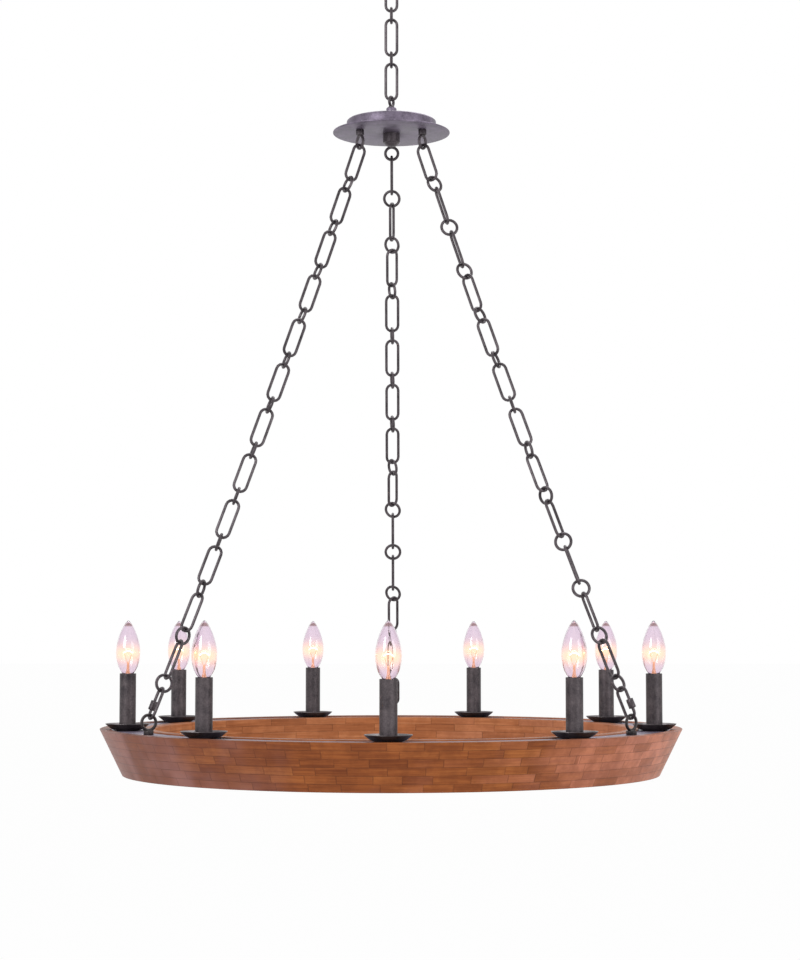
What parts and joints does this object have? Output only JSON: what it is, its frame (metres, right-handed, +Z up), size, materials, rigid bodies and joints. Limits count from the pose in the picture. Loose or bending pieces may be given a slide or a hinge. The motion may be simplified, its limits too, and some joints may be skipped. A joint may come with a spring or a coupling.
{
  "type": "wagon wheel chandelier",
  "caption": "Ring chandelier: a block-wood ring with candle-style lamps hangs on link chains from a round metal hub, with a short chain up to a ceiling canopy.",
  "frame": {"origin": "centre of the crossbar's face against the ceiling", "axes": "+Z up, out of the fixture into the ceiling; -Y towards the viewer of the picture; +X to the viewer's right"},
  "size_m": [0.914, 0.914, 1.3459],
  "materials": {
    "bronze": "mottled dark bronze, semi-gloss",
    "dark_metal": "near-black bronze, semi-gloss",
    "zinc": "zinc-plated steel",
    "outer_wood": "clear satin on reddish block wood",
    "inner_wood": "clear satin on pale reddish block wood",
    "brass": "lamp base",
    "socket": "moulded lamp holder",
    "bulb_glass": "clear"
  },
  "bodies": {
    "ceiling": {"ceiling_crossbar": "zinc", "canopy_loop": "bronze"},
    "canopy_pan": {"canopy_pan": "bronze"},
    "canopy_collar": {"canopy_collar": "bronze"},
    "top_link_1": {"top_link_1": "bronze"},
    "top_link_2": {"top_link_2": "bronze"},
    "top_link_3": {"top_link_3": "bronze"},
    "top_link_4": {"top_link_4": "bronze"},
    "top_link_5": {"top_link_5": "bronze"},
    "hub": {"hub_loop": "bronze", "hub_neck": "bronze", "hub_pan": "bronze", "hub_disc": "bronze", "hub_coupling": "bronze", "hub_eyes": "bronze"},
    "ring": {"outer_course_1": "outer_wood", "outer_course_2": "outer_wood", "outer_course_3": "outer_wood", "outer_course_4": "outer_wood", "outer_course_5": "outer_wood", "outer_course_6": "outer_wood", "inner_wall": "inner_wood", "floor_ring": "inner_wood", "band": "bronze", "eyebolts": "bronze", "eyebolt_nuts": "zinc", "bobeches": "dark_metal", "sleeves": "dark_metal", "sockets": "socket"},
    "chain_left": {"chain_left": "bronze", "quick_link_left": "bronze"},
    "quick_nut_left": {"quick_nut_left": "bronze"},
    "chain_right": {"chain_right": "bronze", "quick_link_right": "bronze"},
    "quick_nut_right": {"quick_nut_right": "bronze"},
    "chain_back": {"chain_back": "bronze", "quick_link_back": "bronze"},
    "quick_nut_back": {"quick_nut_back": "bronze"},
    "bulb_1_base": {"bulb_1_base": "brass"},
    "bulb_1_glass": {"bulb_1_glass": "bulb_glass"},
    "bulb_2_base": {"bulb_2_base": "brass"},
    "bulb_2_glass": {"bulb_2_glass": "bulb_glass"},
    "bulb_3_base": {"bulb_3_base": "brass"},
    "bulb_3_glass": {"bulb_3_glass": "bulb_glass"},
    "bulb_4_base": {"bulb_4_base": "brass"},
    "bulb_4_glass": {"bulb_4_glass": "bulb_glass"},
    "bulb_5_base": {"bulb_5_base": "brass"},
    "bulb_5_glass": {"bulb_5_glass": "bulb_glass"},
    "bulb_6_base": {"bulb_6_base": "brass"},
    "bulb_6_glass": {"bulb_6_glass": "bulb_glass"},
    "bulb_7_base": {"bulb_7_base": "brass"},
    "bulb_7_glass": {"bulb_7_glass": "bulb_glass"},
    "bulb_8_base": {"bulb_8_base": "brass"},
    "bulb_8_glass": {"bulb_8_glass": "bulb_glass"},
    "bulb_9_base": {"bulb_9_base": "brass"},
    "bulb_9_glass": {"bulb_9_glass": "bulb_glass"}
  },
  "joints": [
    {"name": "collar_unscrew", "type": "slide", "parent": "ceiling", "child": "canopy_collar", "axis": [0, 0, -1], "range_m": [0, 0.008]},
    {"name": "canopy_drop", "type": "slide", "parent": "ceiling", "child": "canopy_pan", "axis": [0, 0, -1], "range_m": [0, 0.008]},
    {"name": "top_link_1_swing", "type": "hinge", "parent": "ceiling", "child": "top_link_1", "pos_m": [0, 0, -0.06437], "axis": [1, 0, 0], "range_deg": [-20, 20]},
    {"name": "top_link_2_swing", "type": "hinge", "parent": "top_link_1", "child": "top_link_2", "pos_m": [0, 0, -0.1184], "axis": [0, 1, 0], "range_deg": [-20, 20]},
    {"name": "top_link_3_twist", "type": "hinge", "parent": "top_link_2", "child": "top_link_3", "pos_m": [0, 0, -0.13692], "axis": [0, 0, 1], "range_deg": [-30, 30]},
    {"name": "top_link_4_swing", "type": "hinge", "parent": "top_link_3", "child": "top_link_4", "pos_m": [0, 0, -0.19095], "axis": [0, 1, 0], "range_deg": [-20, 20]},
    {"name": "top_link_5_swing", "type": "hinge", "parent": "top_link_4", "child": "top_link_5", "pos_m": [0, 0, -0.20947], "axis": [1, 0, 0], "range_deg": [-20, 20]},
    {"name": "hub_swing", "type": "hinge", "parent": "top_link_5", "child": "hub", "pos_m": [0, 0, -0.26349], "axis": [0.4226, 0.9063, 0], "range_deg": [-15, 15]},
    {"name": "ring_twist", "type": "hinge", "parent": "hub", "child": "ring", "pos_m": [0, 0, -0.35402], "axis": [0, 0, 1], "range_deg": [-5, 5], "stiffness_Nm_per_rad": 2.6},
    {"name": "chain_left_swing", "type": "hinge", "parent": "hub", "child": "chain_left", "pos_m": [-0.04988, -0.0288, -0.35402], "axis": [-0.8056, -0.4651, 0.3671], "range_deg": [-2.21, 2.21]},
    {"name": "quick_nut_left_lift", "type": "slide", "parent": "chain_left", "child": "quick_nut_left", "axis": [0.3403, 0.1965, 0.9196], "range_m": [0, 0.012]},
    {"name": "chain_right_swing", "type": "hinge", "parent": "hub", "child": "chain_right", "pos_m": [0.04988, -0.0288, -0.35402], "axis": [0.8043, -0.4644, 0.3708], "range_deg": [-2.21, 2.21]},
    {"name": "quick_nut_right_lift", "type": "slide", "parent": "chain_right", "child": "quick_nut_right", "axis": [-0.3429, 0.1993, 0.918], "range_m": [0, 0.012]},
    {"name": "chain_back_swing", "type": "hinge", "parent": "hub", "child": "chain_back", "pos_m": [0, 0.0576, -0.35402], "axis": [0, 0.9302, 0.3671], "range_deg": [-2.21, 2.21]},
    {"name": "quick_nut_back_lift", "type": "slide", "parent": "chain_back", "child": "quick_nut_back", "axis": [0, -0.3929, 0.9196], "range_m": [0, 0.012]},
    {"name": "bulb_1_travel", "type": "slide", "parent": "ring", "child": "bulb_1_base", "axis": [0, 0, 1], "range_m": [0, 0.01016]},
    {"name": "bulb_1_turn", "type": "hinge", "parent": "bulb_1_base", "child": "bulb_1_glass", "pos_m": [0, -0.4144, -1.19075], "axis": [0, 0, 1], "range_deg": [0, 1441]},
    {"name": "bulb_2_travel", "type": "slide", "parent": "ring", "child": "bulb_2_base", "axis": [0, 0, 1], "range_m": [0, 0.01016]},
    {"name": "bulb_2_turn", "type": "hinge", "parent": "bulb_2_base", "child": "bulb_2_glass", "pos_m": [0.26637, -0.31745, -1.19075], "axis": [0, 0, 1], "range_deg": [0, 1441]},
    {"name": "bulb_3_travel", "type": "slide", "parent": "ring", "child": "bulb_3_base", "axis": [0, 0, 1], "range_m": [0, 0.01016]},
    {"name": "bulb_3_turn", "type": "hinge", "parent": "bulb_3_base", "child": "bulb_3_glass", "pos_m": [0.4081, -0.07196, -1.19075], "axis": [0, 0, 1], "range_deg": [0, 1441]},
    {"name": "bulb_4_travel", "type": "slide", "parent": "ring", "child": "bulb_4_base", "axis": [0, 0, 1], "range_m": [0, 0.01016]},
    {"name": "bulb_4_turn", "type": "hinge", "parent": "bulb_4_base", "child": "bulb_4_glass", "pos_m": [0.35888, 0.2072, -1.19075], "axis": [0, 0, 1], "range_deg": [0, 1441]},
    {"name": "bulb_5_travel", "type": "slide", "parent": "ring", "child": "bulb_5_base", "axis": [0, 0, 1], "range_m": [0, 0.01016]},
    {"name": "bulb_5_turn", "type": "hinge", "parent": "bulb_5_base", "child": "bulb_5_glass", "pos_m": [0.14173, 0.38941, -1.19075], "axis": [0, 0, 1], "range_deg": [0, 1441]},
    {"name": "bulb_6_travel", "type": "slide", "parent": "ring", "child": "bulb_6_base", "axis": [0, 0, 1], "range_m": [0, 0.01016]},
    {"name": "bulb_6_turn", "type": "hinge", "parent": "bulb_6_base", "child": "bulb_6_glass", "pos_m": [-0.14173, 0.38941, -1.19075], "axis": [0, 0, 1], "range_deg": [0, 1441]},
    {"name": "bulb_7_travel", "type": "slide", "parent": "ring", "child": "bulb_7_base", "axis": [0, 0, 1], "range_m": [0, 0.01016]},
    {"name": "bulb_7_turn", "type": "hinge", "parent": "bulb_7_base", "child": "bulb_7_glass", "pos_m": [-0.35888, 0.2072, -1.19075], "axis": [0, 0, 1], "range_deg": [0, 1441]},
    {"name": "bulb_8_travel", "type": "slide", "parent": "ring", "child": "bulb_8_base", "axis": [0, 0, 1], "range_m": [0, 0.01016]},
    {"name": "bulb_8_turn", "type": "hinge", "parent": "bulb_8_base", "child": "bulb_8_glass", "pos_m": [-0.4081, -0.07196, -1.19075], "axis": [0, 0, 1], "range_deg": [0, 1441]},
    {"name": "bulb_9_travel", "type": "slide", "parent": "ring", "child": "bulb_9_base", "axis": [0, 0, 1], "range_m": [0, 0.01016]},
    {"name": "bulb_9_turn", "type": "hinge", "parent": "bulb_9_base", "child": "bulb_9_glass", "pos_m": [-0.26637, -0.31745, -1.19075], "axis": [0, 0, 1], "range_deg": [0, 1441]}
  ],
  "couplings": [
    {"joint": "canopy_drop", "follows": "collar_unscrew", "ratio": 1},
    {"joint": "chain_left_swing", "follows": "ring_twist", "ratio": 0.43136},
    {"joint": "chain_right_swing", "follows": "ring_twist", "ratio": 0.43136},
    {"joint": "chain_back_swing", "follows": "ring_twist", "ratio": 0.43136},
    {"joint": "bulb_1_turn", "follows": "bulb_1_travel", "rad_per_m": 2473.7},
    {"joint": "bulb_2_turn", "follows": "bulb_2_travel", "rad_per_m": 2473.7},
    {"joint": "bulb_3_turn", "follows": "bulb_3_travel", "rad_per_m": 2473.7},
    {"joint": "bulb_4_turn", "follows": "bulb_4_travel", "rad_per_m": 2473.7},
    {"joint": "bulb_5_turn", "follows": "bulb_5_travel", "rad_per_m": 2473.7},
    {"joint": "bulb_6_turn", "follows": "bulb_6_travel", "rad_per_m": 2473.7},
    {"joint": "bulb_7_turn", "follows": "bulb_7_travel", "rad_per_m": 2473.7},
    {"joint": "bulb_8_turn", "follows": "bulb_8_travel", "rad_per_m": 2473.7},
    {"joint": "bulb_9_turn", "follows": "bulb_9_travel", "rad_per_m": 2473.7}
  ]
}
